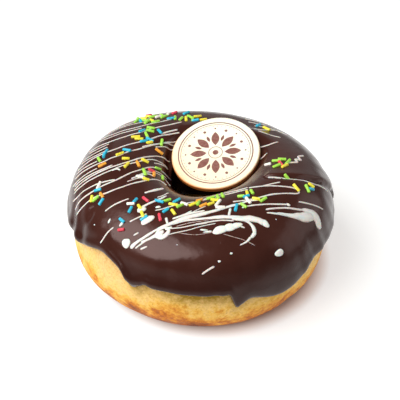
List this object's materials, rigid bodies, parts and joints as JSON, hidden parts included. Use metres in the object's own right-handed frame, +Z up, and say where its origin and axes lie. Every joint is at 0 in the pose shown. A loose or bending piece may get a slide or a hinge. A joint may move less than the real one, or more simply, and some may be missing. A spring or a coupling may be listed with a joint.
{
  "type": "ring doughnut",
  "caption": "Raised ring doughnut with a dark chocolate coat, white drizzle, coloured sugar sprinkles and a white chocolate disc over the hole.",
  "frame": {"origin": "centre of the bounding box in plan, on the level the dough stands on", "axes": "+Z up along the axis of the ring, -Y the front that the picture looks at, +X to the right in the picture"},
  "size_m": [0.0986, 0.0998, 0.0495],
  "materials": {
    "fried_dough": "matte",
    "dark_chocolate": "satin",
    "white_chocolate": "satin"
  },
  "bodies": {
    "root": {"dough": "fried_dough", "chocolate_coat": "dark_chocolate", "white_chocolate_disc": "white_chocolate"}
  },
  "joints": []
}
